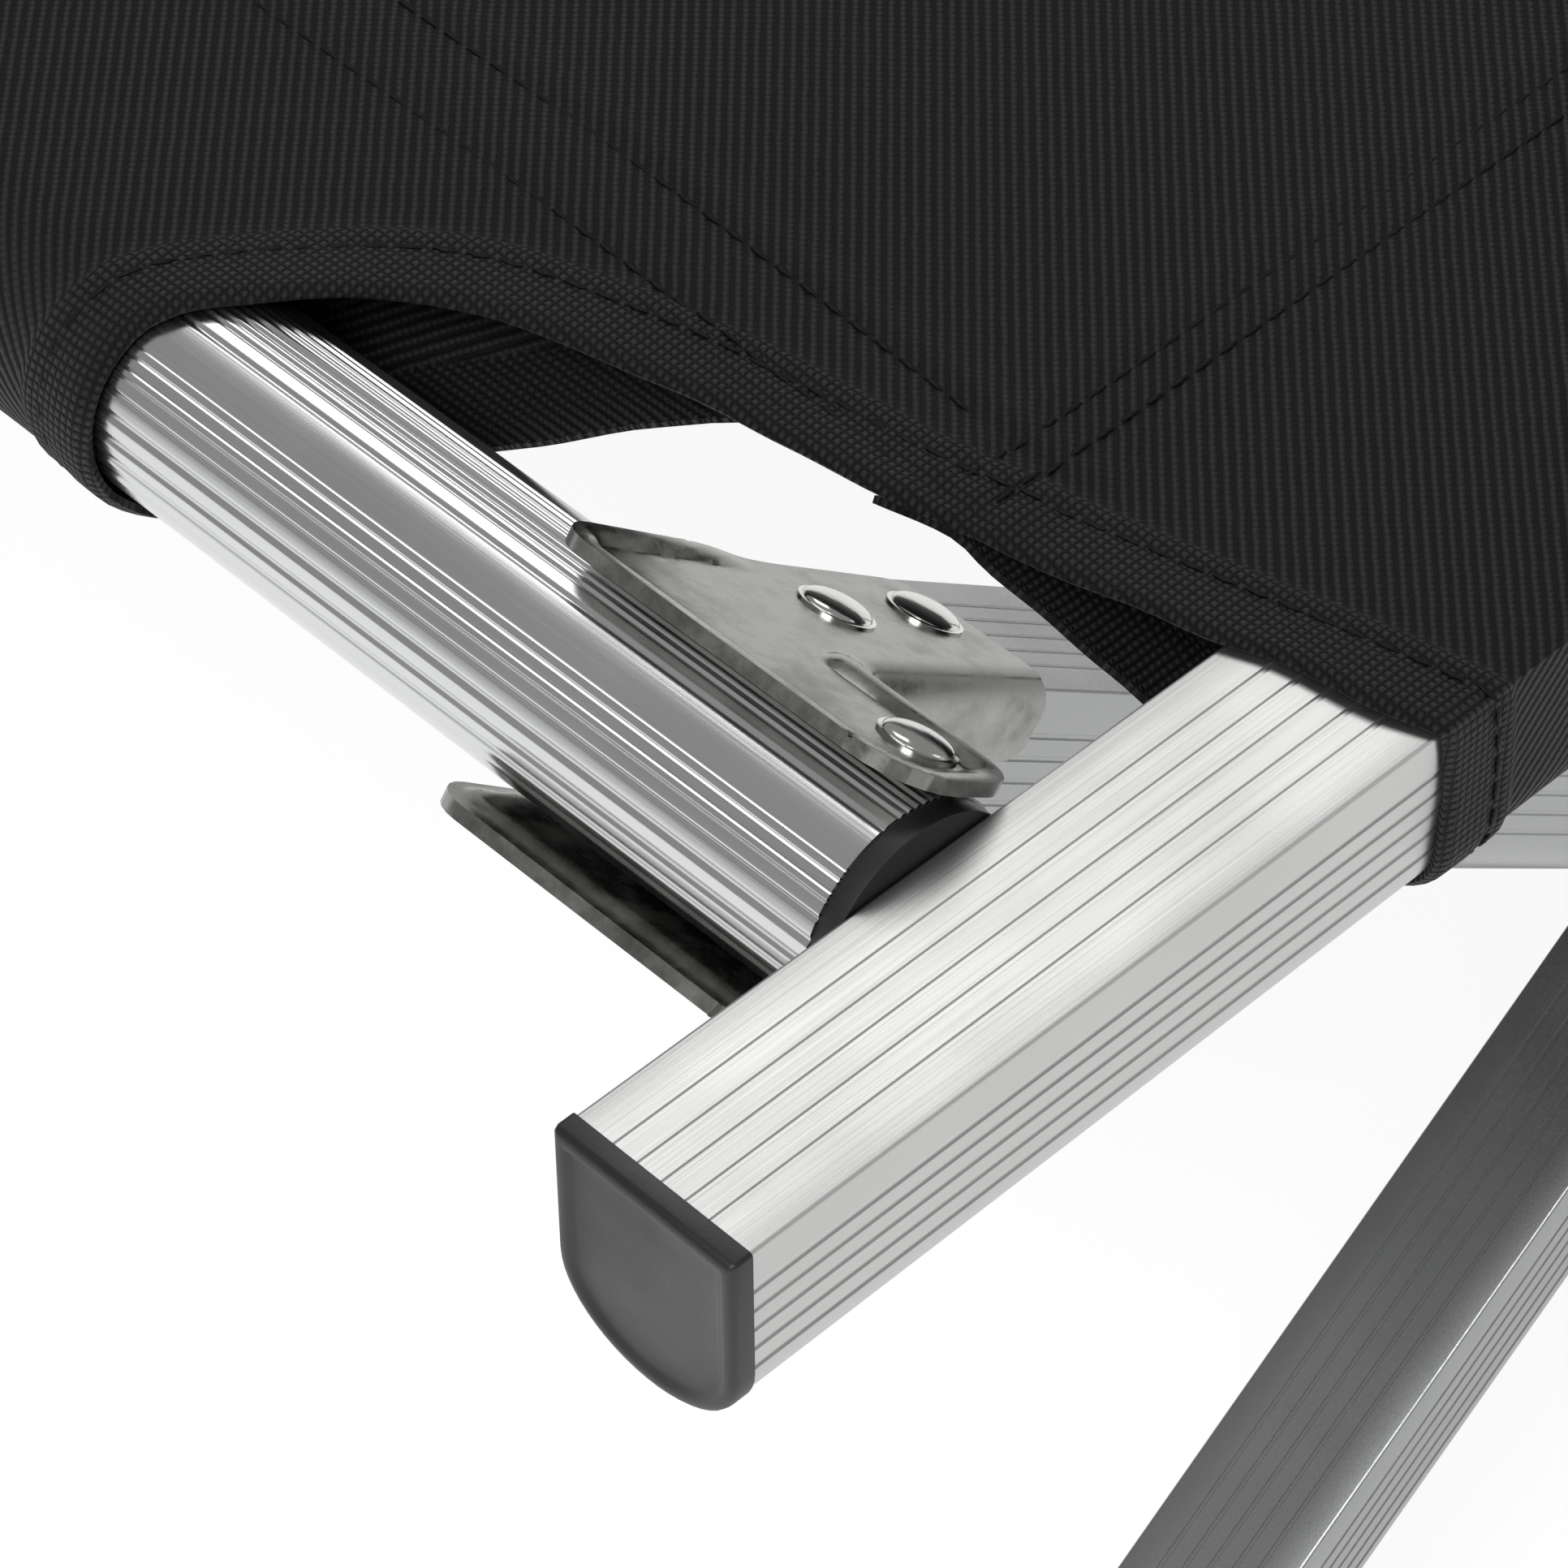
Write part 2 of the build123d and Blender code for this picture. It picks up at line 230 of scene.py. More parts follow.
def brushed_metal(name, colour, roughness, streak_width, streak_depth, along):
    """Drawn metal: fine die lines run lengthwise, and the gloss varies a little in broad soft patches."""
    material, tree, shader = new_material(name, colour, 1.0, roughness)
    place = add_node(tree, "TexCoord")
    stretch = [1 / streak_width] * 3
    stretch[along] = 1 / (streak_width * 150)
    scaled = add_node(tree, "Mapping", {"Scale": stretch}, {"Vector": place.outputs["Object"]})
    lines = add_node(tree, "TexNoise", {"Scale": 1.0, "Detail": 3.0}, {"Vector": scaled.outputs["Vector"]})
    patches = add_node(tree, "TexNoise", {"Scale": 35.0, "Detail": 2.0}, {"Vector": place.outputs["Object"]})
    both = add_node(tree, "Math", None, {0: lines.outputs["Fac"], 1: patches.outputs["Fac"]}, operation="ADD")
    gloss = add_node(
        tree, "MapRange", {"From Min": 0.6, "From Max": 1.4, "To Min": roughness - 0.06,
                           "To Max": roughness + 0.08}, {"Value": both.outputs["Value"]})
    tree.links.new(gloss.outputs["Result"], shader.inputs["Roughness"])
    bump = add_node(tree, "Bump", {"Strength": 0.5, "Distance": streak_depth},
                    {"Height": lines.outputs["Fac"]})
    tree.links.new(bump.outputs["Normal"], shader.inputs["Normal"])
    return material


# Satin aluminium off the die: bright, with soft lengthwise streaks about a third of a millimetre wide
rail_metal = brushed_metal("satin_mill_aluminium", "#CFD0D0", 0.24, 0.35 * MM, 0.02 * MM, 1)

rail_low, rail_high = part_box("left_rail_front")
rail_x = -(rail_low[0] + rail_high[0]) / 2
rail_z = (rail_low[2] + rail_high[2]) / 2
rail_radius = (rail_high[0] - rail_low[0]) / 2
rail_wall = 1.5 * MM
# Flutes by their angle from the top, outwards positive: each has a half width in degrees and a depth
flutes = [(33, 0.9, 0.12), (38, 1.0, 0.16), (44, 1.1, 0.2), (48.5, 1.0, 0.16), (57, 2.2, 0.3)]
flutes += [(68, 3.5, 0.35), (80, 3.5, 0.35), (91, 3.5, 0.35), (102, 3.5, 0.35), (9, 2.6, 0.22)]
flutes += [(-34 + 4.8 * i, 1.9, 0.3) for i in range(8)]
outline_step = 0.5  # degrees between the points of the tube's section


def rail_outline():
    """The tube's section. The pattern of flutes repeats after half a turn."""
    points = []
    for i in range(int(360 / outline_step)):
        angle = i * outline_step
        depth = 0
        for flute, half, deep in flutes:
            away = abs((angle - flute + 90) % 180 - 90)
            if away < half:
                depth = deep * MM * (1 + math.cos(math.pi * away / half)) / 2
        radius = rail_radius - depth
        turn = math.radians(angle)
        points.append((-radius * math.sin(turn), radius * math.cos(turn)))
    return points


for end in ("front", "rear"):
    low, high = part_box("left_rail_" + end)
    place = frame_matrix((-rail_x, low[1], rail_z), (1, 0, 0), (0, 0, 1))
    rail = add_ring("left_" + end + "_rail_tube", rail_outline(), place)
    extrude_all(rail, (0, high[1] - low[1], 0))
    modify(rail, "SOLIDIFY", thickness=rail_wall, offset=-1)
    twin = copy_as(rail, other_side(rail.name), half_turn)
    finish_piece(rail, rail_metal, "left_side", "left_rail_" + end)
    finish_piece(twin, rail_metal, "right_side", other_side("left_rail_" + end))

# ---------------------------------------------------------------- Rail end plugs
# A moulded black plug closes each rail. Its thin flange shows behind the end bar, and its peg enters the bar.
# Slightly shiny polypropylene with the fine grain of a textured mould.


def grained_plastic(name, colour, roughness, grain, depth):
    """Moulded plastic or rubber: an even fine grain from the tool, with gloss that varies a little."""
    material, tree, shader = new_material(name, colour, 0.0, roughness)
    shader.inputs["IOR"].default_value = 1.49
    place = add_node(tree, "TexCoord")
    grit = add_node(tree, "TexNoise", {"Scale": 1 / grain, "Detail": 2.0},
                    {"Vector": place.outputs["Object"]})
    wear = add_node(tree, "TexNoise", {"Scale": 60.0, "Detail": 4.0}, {"Vector": place.outputs["Object"]})
    gloss = add_node(tree, "MapRange", {"From Min": 0.3, "From Max": 0.7, "To Min": roughness - 0.08,
                                        "To Max": roughness + 0.12}, {"Value": wear.outputs["Fac"]})
    tree.links.new(gloss.outputs["Result"], shader.inputs["Roughness"])
    bump = add_node(tree, "Bump", {"Strength": 0.6, "Distance": depth}, {"Height": grit.outputs["Fac"]})
    tree.links.new(bump.outputs["Normal"], shader.inputs["Normal"])
    return material


# Black polypropylene: soft grey highlights, grain about half a millimetre across
black_plastic = grained_plastic("moulded_black_polypropylene", "#19191B", 0.42, 0.5 * MM, 0.03 * MM)


def cut_smooth_copy(node, name, bevel):
    """A copy of a CAD node with its loose triangles joined, flat faces cleaned up and edges rounded."""
    piece = copy_as(frame["nodes"][node], name, Matrix.Identity(4))
    edit_all(piece)
    bpy.ops.mesh.remove_doubles(threshold=0.005 * MM)
    bpy.ops.mesh.dissolve_limited(angle_limit=math.radians(1))
    bpy.ops.object.mode_set(mode="OBJECT")
    modify(piece, "BEVEL", width=bevel, segments=3, limit_method="ANGLE", angle_limit=math.radians(40),
           use_clamp_overlap=True)
    return piece


for end in ("front", "rear"):
    plug = cut_smooth_copy("left_rail_plug_" + end, "left_" + end + "_end_plug", 0.4 * MM)
    twin = copy_as(plug, other_side(plug.name), half_turn)
    finish_piece(plug, black_plastic, "left_side", "left_rail_plug_" + end)
    finish_piece(twin, black_plastic, "right_side", other_side("left_rail_plug_" + end))

# ---------------------------------------------------------------- Legs
# Six legs cut from the same D-section bar as the ends, flat face up and belly down, sawn level at the foot.
# Extruded aluminium, a little greyer than the end bars, with fine grooves along the flat face and sides.
section_width = 25 * MM
section_height = 28 * MM
section_side = 18 * MM
section_wall = 1.6 * MM
groove_width = 0.8 * MM
groove_depth = 0.22 * MM
edge_radius = 0.5 * MM
top_groove_pitch = 3.4 * MM
first_side_groove, side_groove_pitch = 6 * MM, 2.9 * MM
top_grooves = [top_groove_pitch * i for i in (-2, -1, 0, 1, 2)]
side_grooves = [first_side_groove + side_groove_pitch * i for i in range(5)]


def section_outline(grow=0.0, grooves=True):
    """The D section about its middle: flat top with grooves, two straight sides and a round belly."""
    half, top = section_width / 2 + grow, section_height / 2 + grow
    shoulder = section_height / 2 - section_side
    points = []
    for groove in top_grooves if grooves else []:
        for across, down in ((-0.5, 0), (-0.3, 1), (0.3, 1), (0.5, 0)):
            points.append((groove + across * groove_width, top - down * groove_depth))
    side = []
    corner = math.radians(90)
    for i in range(4):
        turn = corner * i / 3
        side.append((half - edge_radius * (1 - math.sin(turn)), top - edge_radius * (1 - math.cos(turn))))
    for groove in side_grooves if grooves else []:
        for along, depth in ((-0.5, 0), (-0.3, 1), (0.3, 1), (0.5, 0)):
            side.append((half - depth * groove_depth, top - groove - along * groove_width))
    belly = 24
    for i in range(belly + 1):
        turn = math.pi * i / belly
        if i <= belly / 2:
            side.append((half * math.cos(turn), shoulder - (top + shoulder) * math.sin(turn)))
    mirrored = [(-x, y) for x, y in reversed(side[:-1])]
    return points + side + mirrored


leg_metal = brushed_metal("mill_aluminium_leg", "#9C9D9D", 0.36, 0.3 * MM, 0.02 * MM, 0)
hinge = next(joint for joint in frame["joints"] if joint["name"] == "left_side_fold")
pivot_z = hinge["pos_m"][2]
slope = math.atan2(rail_z - pivot_z, rail_x)
along = Vector((math.cos(slope), 0, -math.sin(slope)))
across = Vector((math.sin(slope), 0, math.cos(slope)))
leg_end_gap = 3 * MM
leg_start = rail_radius + leg_end_gap
sole = 5 * MM
stations = {}
for end in ("front", "middle", "rear"):
    low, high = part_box("left_leg_" + end)
    stations[end] = (low[1] + high[1]) / 2

for end, y in stations.items():
    top = Vector((-rail_x, y, rail_z)) + along * leg_start
    leg = add_ring("left_" + end + "_leg_bar", section_outline(), frame_matrix(top, (0, 1, 0), across))
    extrude_all(leg, along * ((rail_z + section_height) / math.sin(slope) - leg_start))
    edit_all(leg)
    bpy.ops.mesh.bisect(plane_co=(0, 0, sole), plane_no=(0, 0, -1), clear_outer=True)
    bpy.ops.object.mode_set(mode="OBJECT")
    modify(leg, "SOLIDIFY", thickness=section_wall, offset=-1)
    twin = copy_as(leg, other_side(leg.name), half_turn)
    finish_piece(leg, leg_metal, "left_side", "left_leg_" + end)
    finish_piece(twin, leg_metal, "right_side", other_side("left_leg_" + end))

# ---------------------------------------------------------------- Feet
# A moulded rubber boot is pushed over each leg's end, cut level so that its whole sole meets the floor.
foot_rubber = grained_plastic("moulded_black_rubber", "#1C1C1C", 0.62, 0.7 * MM, 0.05 * MM)
for end in stations:
    foot = cut_smooth_copy("left_foot_" + end, "left_" + end + "_boot", 0.9 * MM)
    twin = copy_as(foot, other_side(foot.name), half_turn)
    finish_piece(foot, foot_rubber, "left_side", "left_foot_" + end)
    finish_piece(twin, foot_rubber, "right_side", other_side("left_foot_" + end))

# ---------------------------------------------------------------- Gusset plates
# One pressed plate above and one below each leg's head; their wings straddle the rail.
# Zinc-plated sheet steel with a raised rim for stiffness, and a lip bent down beside the leg.
plate = 1.8 * MM
plate_gap = 0.2 * MM
fork_half = rail_radius + plate_gap
rim_height = 0.9 * MM
rim_width = 2.2 * MM

zinc, zinc_tree, zinc_shader = new_material("zinc_plated_pressed_steel", "#8C8B88", 1.0, 0.2)
zinc_place = add_node(zinc_tree, "TexCoord")
smudges = add_node(zinc_tree, "TexNoise", {"Scale": 140.0, "Detail": 6.0, "Roughness": 0.7},
                   {"Vector": zinc_place.outputs["Object"]})
zinc_gloss = add_node(zinc_tree, "MapRange", {"From Min": 0.35, "From Max": 0.7, "To Min": 0.14,
                                              "To Max": 0.42}, {"Value": smudges.outputs["Fac"]})
zinc_tree.links.new(zinc_gloss.outputs["Result"], zinc_shader.inputs["Roughness"])
zinc_colour = add_node(zinc_tree, "ValToRGB", None, {"Fac": smudges.outputs["Fac"]})
zinc_colour.color_ramp.elements[0].position = 0.3
zinc_colour.color_ramp.elements[0].color = linear("#6F6F6C")
zinc_colour.color_ramp.elements[1].position = 0.7
zinc_colour.color_ramp.elements[1].color = linear("#A2A19D")
zinc_tree.links.new(zinc_colour.outputs["Color"], zinc_shader.inputs["Base Color"])
zinc_bump = add_node(zinc_tree, "Bump", {"Strength": 0.4, "Distance": 0.04 * MM},
                     {"Height": smudges.outputs["Fac"]})
zinc_tree.links.new(zinc_bump.outputs["Normal"], zinc_shader.inputs["Normal"])


def rounded(corners):
    """A closed outline from corners given as x, y and radius, each rounded by an arc."""
    points = []
    for i, (x, y, radius) in enumerate(corners):
        here = Vector((x, y))
        before = (Vector(corners[i - 1][:2]) - here).normalized()
        after = (Vector(corners[(i + 1) % len(corners)][:2]) - here).normalized()
        half_angle = before.angle(after) / 2
        reach = radius / math.tan(half_angle)
        centre = here + (before + after).normalized() * (radius / math.sin(half_angle))
        first, last = here + before * reach, here + after * reach
        start = math.atan2(*(first - centre).yx)
        turn = (math.atan2(*(last - centre).yx) - start + math.pi) % (2 * math.pi) - math.pi
        for step in range(7):
            angle = start + turn * step / 6
            points.append((centre.x + radius * math.cos(angle), centre.y + radius * math.sin(angle)))
    return points


# The plates' flat outlines in millimetres: x down the leg, y along the rail, and the corner's radius
wing = [(-13, 38.5, 9), (-13, -16, 5), (21, -10, 12), (45, -8, 5), (45, 20.5, 3.5), (16, 20.5, 1.5),
        (7, 12.8, 0.7), (6.5, 38.5, 5)]
both_wings = [(-13, 38.5, 9), (-13, -38.5, 9), (6.5, -38.5, 5), (7, -12.8, 0.7), (16, -20.5, 1.5),
              (45, -20.5, 3.5), (45, 20.5, 3.5), (16, 20.5, 1.5), (7, 12.8, 0.7), (6.5, 38.5, 5)]
fold_at, fold_radius = 11.4 * MM, 2 * MM
fold_from = 7.1 * MM
grid = MM  # the flat plate is cut into squares of this size, so that it can be pressed


def smooth(value, low, high):
    """Zero below low, one above high, and a smooth step between."""
    t = np.clip((value - low) / (high - low), 0, 1)
    return t * t * (3 - 2 * t)


def edge_distance(points, line):
    """Shortest distance from each pattern point to a line of points."""
    best = np.full(len(points), 1.0)
    for first, second in zip(line, line[1:]):
        base, span = np.array(first), np.array(second - first)
        share = np.clip((points - base) @ span / (span @ span), 0, 1)
        best = np.minimum(best, np.linalg.norm(points - base - share[:, None] * span, axis=1))
    return best


def press_plate(name, corners):
    """Cut a plate flat, dish it inside a raised rim and bend its lips down beside the leg.

    In its own plane x runs down the leg, y along the rail, and z away from the rail."""
    outline = [Vector(point) for point in rounded([(x * MM, y * MM, r * MM) for x, y, r in corners])]
    piece = add_ring(name, outline, Matrix.Identity(4))
    edit_all(piece)
    bpy.ops.mesh.edge_face_add()
    mesh = bmesh.from_edit_mesh(piece.data)
    for axis in (0, 1):
        way = Vector((1 - axis, axis, 0))
        for step in range(-40, 46):
            parts = mesh.verts[:] + mesh.edges[:] + mesh.faces[:]
            bmesh.ops.bisect_plane(mesh, geom=parts, plane_co=way * step * grid, plane_no=way)
    if sum(face.normal.z for face in mesh.faces) < 0:
        bmesh.ops.reverse_faces(mesh, faces=mesh.faces)
    flat_points = np.array([tuple(vertex.co.xy) for vertex in mesh.verts])
    edge = edge_distance(flat_points, outline + outline[:1])
    rim = rim_height * (1 - smooth(edge, 0.6 * rim_width, 1.5 * rim_width))
    rim *= 1 - smooth(flat_points[:, 0], 8 * MM, 18 * MM)
    for vertex, lift in zip(mesh.verts, rim):
        vertex.co.z = lift
        over = abs(vertex.co.y) - fold_at
        if vertex.co.x > fold_from and over > 0:
            angle = min(over / fold_radius, math.pi / 2)
            straight = over - angle * fold_radius
            side = math.copysign(1, vertex.co.y)
            vertex.co.y = side * (fold_at + fold_radius * math.sin(angle))
            vertex.co.z += fold_radius * (math.cos(angle) - 1) - straight
    bmesh.ops.triangulate(mesh, faces=[face for face in mesh.faces if len(face.verts) > 4])
    bmesh.update_edit_mesh(piece.data)
    bpy.ops.object.mode_set(mode="OBJECT")
    modify(piece, "SOLIDIFY", thickness=plate, offset=1)
    return piece


single = press_plate("single_plate", wing)
double = press_plate("double_plate", both_wings)
for end, y in stations.items():
    pattern = double if end == "middle" else single
    way = 1 if end == "rear" else -1
    for level, side in (("upper", 1), ("lower", -1)):
        origin = Vector((-rail_x, y, rail_z)) + across * side * fork_half
        place = Matrix.Translation(origin) @ Matrix((along, (0, way, 0), across * side)).transposed().to_4x4()
        gusset = copy_as(pattern, "left_" + end + "_" + level + "_plate", place)
        twin = copy_as(gusset, other_side(gusset.name), half_turn)
        node = "left_gusset_" + end + "_" + level
        finish_piece(gusset, zinc, "left_side", node)
        finish_piece(twin, zinc, "right_side", other_side(node))
for pattern in (single, double):
    bpy.data.objects.remove(pattern)

# ---------------------------------------------------------------- Gusset rivets
# Solid steel rivets with low domed heads: two through the leg, one through the rail at each wing.
rivet_metal = brushed_metal("bright_steel_rivet", "#C9C9C6", 0.16, 0.6 * MM, 0.02 * MM, 1)
head_radius, head_height, shank_radius = 4.2 * MM, 1.5 * MM, 2.5 * MM


def rivet_profile(radius, height, reach, shank):
    """Half of a rivet's section from the top of one head to the middle of its shank."""
    dome = [(radius * math.sin(t), reach + height * (0.25 + 0.75 * math.cos(t)))
            for t in (math.radians(90 * i / 8) for i in range(9))]
    flange = radius + 0.5 * MM
    return dome + [(flange, reach + 0.2 * height), (flange, reach), (shank, reach), (shank, 0)]


def add_rivet(name, profile, place):
    """Spin a rivet's half section round, mirror it for the other head, and put it in its place."""
    bpy.ops.object.select_all(action="DESELECT")
    bpy.ops.mesh.primitive_circle_add(vertices=3, radius=1)
    rivet = bpy.context.object
    rivet.name = name
    mesh = bmesh.new()
    corners = [mesh.verts.new((x, 0, z)) for x, z in profile]
    corners += [mesh.verts.new((x, 0, -z)) for x, z in reversed(profile[:-1])]
    for first, second in zip(corners, corners[1:]):
        mesh.edges.new((first, second))
    mesh.to_mesh(rivet.data)
    mesh.free()
    edit_all(rivet)
    bpy.ops.mesh.spin(steps=32, angle=2 * math.pi, center=(0, 0, 0), axis=(0, 0, 1))
    bpy.ops.mesh.select_all(action="SELECT")
    bpy.ops.mesh.remove_doubles(threshold=0.002 * MM)
    bpy.ops.object.mode_set(mode="OBJECT")
    face_outwards(rivet)
    rivet.data.transform(place)
    return rivet


plate_top = fork_half + plate
leg_rivets = (21 * MM, 38 * MM)  # down the leg from the rail's axis
wing_rivet = 29 * MM  # along the rail from the leg's middle
for end, y in stations.items():
    wings = {"front": (-1,), "middle": (-1, 1), "rear": (1,)}[end]
    spots = [(down, 0) for down in leg_rivets] + [(0, way * wing_rivet) for way in wings]
    for number, (down, sideways) in enumerate(spots, 1):
        place = frame_matrix(Vector((-rail_x, y + sideways, rail_z)) + along * down, along, (0, 1, 0))
        profile = rivet_profile(head_radius, head_height, plate_top, shank_radius)
        rivet = add_rivet("left_" + end + "_plate_rivet_" + str(number), profile, place)
        twin = copy_as(rivet, other_side(rivet.name), half_turn)
        node = "left_gusset_rivets_" + end
        finish_piece(rivet, rivet_metal, "left_side", node, sharp=50)
        finish_piece(twin, rivet_metal, "right_side", other_side(node), sharp=50)

# ---------------------------------------------------------------- Crossing rivets and washers
# A stout steel rivet joins the two legs of each pair where they cross, with a nylon washer between them.
cross_radius, cross_height, cross_shank = 6.5 * MM, 2.4 * MM, 3 * MM
for end in stations:
    low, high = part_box("cross_rivet_" + end)
    middle = (low[1] + high[1]) / 2
    reach = (high[1] - low[1]) / 2 - 2.6 * MM
    place = frame_matrix((0, middle, pivot_z), (1, 0, 0), (0, 0, -1))
    profile = rivet_profile(cross_radius, cross_height, reach, cross_shank)
    rivet = add_rivet(end + "_crossing_rivet", profile, place)
    finish_piece(rivet, rivet_metal, "middle", "cross_rivet_" + end, sharp=50)
    washer = cut_smooth_copy("cross_washer_" + end, end + "_leg_washer", 0.2 * MM)
    finish_piece(washer, black_plastic, "middle", "cross_washer_" + end)

# ---------------------------------------------------------------- End bars
# A D-section bar across each end holds the rails apart and stretches the cloth along.
# Extruded aluminium, lightly blasted and anodised: pale, matt, with fine grooves along the top and sides.
bar_metal = brushed_metal("anodised_matt_aluminium", "#BDBDBC", 0.42, 0.3 * MM, 0.03 * MM, 0)
bar_low, bar_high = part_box("front_bar")
bar_inner = -bar_high[1]
bar_top = bar_high[2]
bar_middle = (bar_low[1] + bar_high[1]) / 2
bar_place = frame_matrix((bar_low[0], bar_middle, bar_top - section_height / 2), (0, 1, 0), (0, 0, 1))
bar = add_ring("front_end_bar", section_outline(), bar_place)
extrude_all(bar, (bar_high[0] - bar_low[0], 0, 0))
modify(bar, "SOLIDIFY", thickness=section_wall, offset=-1)
rear_bar = copy_as(bar, "rear_end_bar", half_turn)
finish_piece(bar, bar_metal, "front_end", "front_bar")
finish_piece(rear_bar, bar_metal, "rear_end", "rear_bar")

# ---------------------------------------------------------------- Bar caps
# Moulded black caps close the end bars: a D-shaped head with rounded edges and a faintly sunk face.
# Steps of the cap from the bar outwards, then in over the rim to the sunk face: length, and growth all round
cap_steps = [(0, 0.15), (0, 0.3), (2.0, 0.3), (2.6, 0.12), (2.9, -0.3), (3.0, -0.9), (2.9, -1.5), (2.5, -2.0),
             (2.4, -2.6), (2.4, -5)]
for side, way in (("left", -1), ("right", 1)):
    outer = bar_low[0] if way < 0 else bar_high[0]
    points, polygons = [], []
    for reach, grow in cap_steps:
        middle = (outer + way * reach * MM, bar_middle, bar_top - section_height / 2)
        place = frame_matrix(middle, (0, 1, 0), (0, 0, 1))
        ring = section_outline(grow * MM, grooves=False)
        base = len(points)
        points += [place @ Vector((a, b, 0)) for a, b in ring]
        if base:
            for i in range(len(ring)):
                j = (i + 1) % len(ring)
                polygons.append((base - len(ring) + i, base - len(ring) + j, base + j, base + i))
    polygons.append(tuple(range(len(points) - len(ring), len(points))))
    cap_mesh = bpy.data.meshes.new("front_" + side + "_bar_cap")
    cap_mesh.from_pydata(points, [], polygons)
    cap = bpy.data.objects.new(cap_mesh.name, cap_mesh)
    bpy.context.collection.objects.link(cap)
    face_outwards(cap)
    twin = copy_as(cap, other_side(cap.name), half_turn)
    node = "front_bar_cap_" + side
    finish_piece(cap, black_plastic, "front_end", node, sharp=45)
    finish_piece(twin, black_plastic, "rear_end", other_side(node), sharp=45)

# ---------------------------------------------------------------- Cloth
# Each half of the deck is one sheet cut to a pattern: a side flap wraps the rail, end flaps wrap the bars.
# Coarse polyester twill, near black, with ribs at 45 degrees to the threads.
# The cut edges are hemmed with the plain side of the cloth out, and everything is lockstitched.
cloth_thickness = 0.9 * MM
hem_width = 11 * MM
hem_seam = 8 * MM  # from the cut edge
side_seams = (38 * MM, 50 * MM)
end_seams = (30 * MM, 35 * MM)
sleeve_slack = 1.2 * MM
sleeve_radius = rail_radius + sleeve_slack
bar_slack = 0.9 * MM
stitch_pitch = 3.9 * MM


def catmull(points, steps):
    """A smooth line through given points."""
    line = []
    for i in range(len(points) - 1):
        a, b, c, d = (Vector(points[min(max(i + k, 0), len(points) - 1)]) for k in (-1, 0, 1, 2))
        for step in range(steps):
            t = step / steps
            line.append(0.5 * (2 * b + (c - a) * t + (2 * a - 5 * b + 4 * c - d) * t ** 2
                               + (3 * b - a - 3 * c + d) * t ** 3))
    return line + [Vector(points[-1])]


def taut_loop(section, seam):
    """The way of a taut cloth from the top of a section, round its outside and straight on to the seam."""
    best, angle = 0, -10
    for i, point in enumerate(section):
        gone = seam - point
        turn = math.atan2(gone.y, gone.x)
        if i > len(section) / 2 and turn > angle:
            best, angle = i, turn
    return section[:best + 1] + [seam]


def walk(path, lengths, distance):
    """The point at a distance along a path."""
    for i in range(1, len(path)):
        if distance <= lengths[i] or i == len(path) - 1:
            share = (distance - lengths[i - 1]) / (lengths[i] - lengths[i - 1])
            return path[i - 1].lerp(path[i], min(share, 1))
    return path[-1]


def path_lengths(path):
    """Distance from a path's start to each of its points."""
    lengths = [0.0]
    for first, second in zip(path, path[1:]):
        lengths.append(lengths[-1] + (second - first).length)
    return lengths


bar_level = bar_top + bar_slack - rail_z


def deck_level(q):
    """Height of the deck over the rail's axis: it rises from the bar's top to the rail's top."""
    return bar_level + (sleeve_radius - bar_level) * smooth(q, 0, 112 * MM)


# Side wrap, in a plane across the rail: inboard of its axis, and above it
circle = [Vector((-math.sin(t), math.cos(t))) * sleeve_radius
          for t in (2 * math.pi * i / 96 for i in range(97))]
side_seam = Vector((side_seams[0], sleeve_radius - 1.3 * MM))
side_path = taut_loop(circle, side_seam) + [Vector((side_seams[1] + 4 * MM, side_seam.y))]
side_lengths = path_lengths(side_path)

# End wrap, in a plane across the bar: inboard of its inner face, and above the rail's axis
section = [Vector((-x - section_width / 2, z - section_height / 2 + bar_top - rail_z))
           for x, z in section_outline(bar_slack, grooves=False)]
end_seam = Vector((end_seams[0], deck_level(end_seams[0]) - 1.3 * MM))
end_path = [Vector((0, bar_level))] + taut_loop(section, end_seam)
end_path += [Vector((end_seams[1] + 6 * MM, end_seam.y))]
end_lengths = path_lengths(end_path)

# The corner's cut edge in the pattern, from the side flap's end to the end flap's end, in millimetres:
# inboard of the rail's axis, and inboard of the bar's inner face. Negative lengths are on the flaps
corner_points = [(-120, 40), (-99, 50), (-86, 68), (-76, 80), (-62, 97), (-47, 108), (-28, 114), (-9, 114),
                 (3, 108), (18, 94), (25, 78), (30, 60), (34, 38), (41, 13), (46, -6), (51, -28), (52, -45),
                 (50, -65), (45, -88), (37, -112), (33, -132)]
corner_cut = catmull([(x * MM, y * MM) for x, y in corner_points], 5)
join_across = 3 * MM
join_along = 108 * MM


def cut_across(q):
    """Where the cut edge crosses a row at q, inboard of the rail's axis."""
    for first, second in zip(corner_cut, corner_cut[1:]):
        if first.x >= join_across - 1e-6 and first.y >= q >= second.y:
            return first.lerp(second, (first.y - q) / max(first.y - second.y, 1e-9)).x
    return corner_cut[-1].x


def cut_along(p):
    """Where the cut edge crosses a column of the side flap at p, inboard of the bar."""
    for first, second in zip(corner_cut, corner_cut[1:]):
        if first.x <= p <= second.x and second.x <= join_across + 1e-6:
            return first.lerp(second, (p - first.x) / max(second.x - first.x, 1e-9)).y
    return join_along


